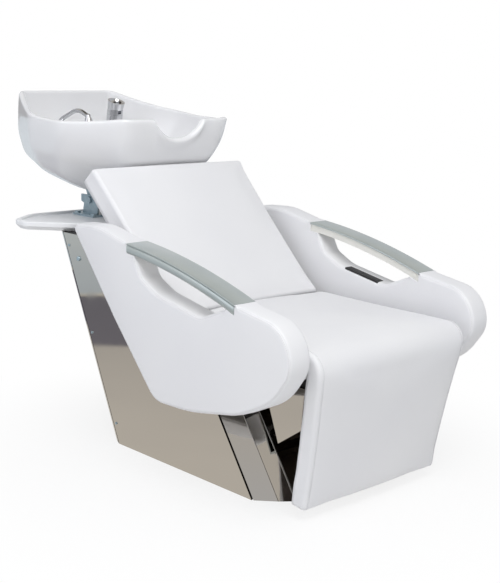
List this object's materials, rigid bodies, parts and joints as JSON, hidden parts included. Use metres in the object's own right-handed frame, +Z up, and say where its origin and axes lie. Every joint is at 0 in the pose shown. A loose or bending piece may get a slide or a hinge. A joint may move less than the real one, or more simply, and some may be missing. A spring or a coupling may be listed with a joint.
{
  "type": "salon backwash unit",
  "caption": "Reclined padded salon seat with electric leg-rest, arm panels with grip holes, polished steel base, rear shelf and tilting ceramic wash bowl with mixer and hand shower.",
  "frame": {"origin": "centre of the floor plate's four anchor holes, on the floor", "axes": "+Z up; the seat faces -Y and the bowl is behind the backrest at +Y; +X is the sitter's left-hand side, with the keypad"},
  "size_m": [0.7, 1.3323, 0.9181],
  "materials": {
    "polished_steel": "mirror-polished stainless sheet",
    "rear_steel": "satin stainless sheet",
    "frame_paint": "matt black powder coat on steel",
    "zinc_plate": "blue-grey zinc plating",
    "plywood": "raw plywood",
    "leatherette": "satin white leatherette over foam",
    "cap_metal": "satin silver-grey",
    "white_plastic": "moulded white",
    "shelf_white": "glossy white moulding",
    "ceramic": "white glazed ceramic",
    "chrome": "bright chrome plating",
    "brass_nuts": "turned brass",
    "black_plastic": "matt black moulding",
    "black_buttons": "satin black keys",
    "actuator_grey": "grey moulded housing",
    "rod_chrome": "hard chrome rod",
    "pad_rubber": "black rubber"
  },
  "bodies": {
    "base": {"floor_plate": "frame_paint", "side_plate_left": "polished_steel", "side_plate_right": "polished_steel", "front_sheet": "polished_steel", "rear_sheet": "rear_steel", "power_inlet": "black_plastic", "frame_uprights": "frame_paint", "frame_cross_tubes": "frame_paint", "seat_frame": "frame_paint", "top_deck": "frame_paint", "deck_beams": "frame_paint", "shelf": "shelf_white", "seat_board": "plywood", "seat_cushion": "leatherette", "back_board": "plywood", "back_cushion": "leatherette", "seat_housing": "polished_steel", "seat_hinge_ears": "frame_paint", "leg_hinge_pins": "zinc_plate", "knee_cover": "leatherette", "actuator_body": "actuator_grey", "control_box": "black_plastic", "arm_panel_left": "leatherette", "arm_panel_right": "leatherette", "arm_cap_left": "cap_metal", "arm_cap_right": "cap_metal", "grip_bar_left": "white_plastic", "grip_bar_right": "white_plastic", "cap_screws": "white_plastic", "arm_spacers": "frame_paint", "arm_bolts": "zinc_plate", "keypad": "black_plastic", "side_bolts": "zinc_plate", "side_screws": "zinc_plate", "bowl_bracket": "zinc_plate", "bracket_bolts": "zinc_plate", "tilt_pin": "zinc_plate", "tilt_stop": "white_plastic"},
    "leg_rest": {"leg_hinge_plates": "frame_paint", "leg_board": "plywood", "leg_cushion": "leatherette", "leg_lug": "frame_paint", "leg_lug_pin": "zinc_plate"},
    "actuator_rod": {"actuator_rod": "rod_chrome"},
    "bowl_unit": {"bowl": "ceramic", "drain_strainer": "chrome", "waste_tail": "white_plastic", "mixer_body": "chrome", "fitting_nuts": "brass_nuts", "shower_socket": "chrome", "tilt_bracket": "zinc_plate", "bowl_pad": "pad_rubber"},
    "mixer_collar": {"mixer_collar": "chrome"},
    "mixer_lever": {"mixer_lever": "chrome"},
    "hand_shower": {"hand_shower": "chrome", "spray_face": "black_plastic"},
    "button_up": {"button_up": "black_buttons"},
    "button_down": {"button_down": "black_buttons"}
  },
  "joints": [
    {"name": "leg_rest_hinge", "type": "hinge", "parent": "base", "child": "leg_rest", "pos_m": [0, -0.43, 0.325], "axis": [-1, 0, 0], "range_deg": [0, 75], "deforming": ["knee_cover"]},
    {"name": "actuator_rod_slide", "type": "slide", "parent": "base", "child": "actuator_rod", "axis": [0, -0.9415, 0.3371], "range_m": [0, 0.0731]},
    {"name": "bowl_tilt", "type": "hinge", "parent": "base", "child": "bowl_unit", "pos_m": [0, 0.632, 0.609], "axis": [1, 0, 0], "range_deg": [-15, 0]},
    {"name": "mixer_swivel", "type": "hinge", "parent": "bowl_unit", "child": "mixer_collar", "pos_m": [0.104, 0.71233, 0.85412], "axis": [0, -0.1392, 0.9903], "range_deg": [-50, 50]},
    {"name": "mixer_lift", "type": "hinge", "parent": "mixer_collar", "child": "mixer_lever", "pos_m": [0.104, 0.71148, 0.86016], "axis": [-1, 0, 0], "range_deg": [0, 15]},
    {"name": "hand_shower_pull", "type": "slide", "parent": "bowl_unit", "child": "hand_shower", "axis": [0, -0.5299, 0.848], "range_m": [0, 0.12]},
    {"name": "button_up_press", "type": "slide", "parent": "base", "child": "button_up", "axis": [0, 0.1822, -0.9833], "range_m": [0, 0.0012], "stiffness_N_per_m": 400, "springref_m": -0.001},
    {"name": "button_down_press", "type": "slide", "parent": "base", "child": "button_down", "axis": [0, 0.1822, -0.9833], "range_m": [0, 0.0012], "stiffness_N_per_m": 400, "springref_m": -0.001}
  ],
  "couplings": [
    {"joint": "actuator_rod_slide", "follows": "leg_rest_hinge", "m_per_rad": 0.055807}
  ]
}
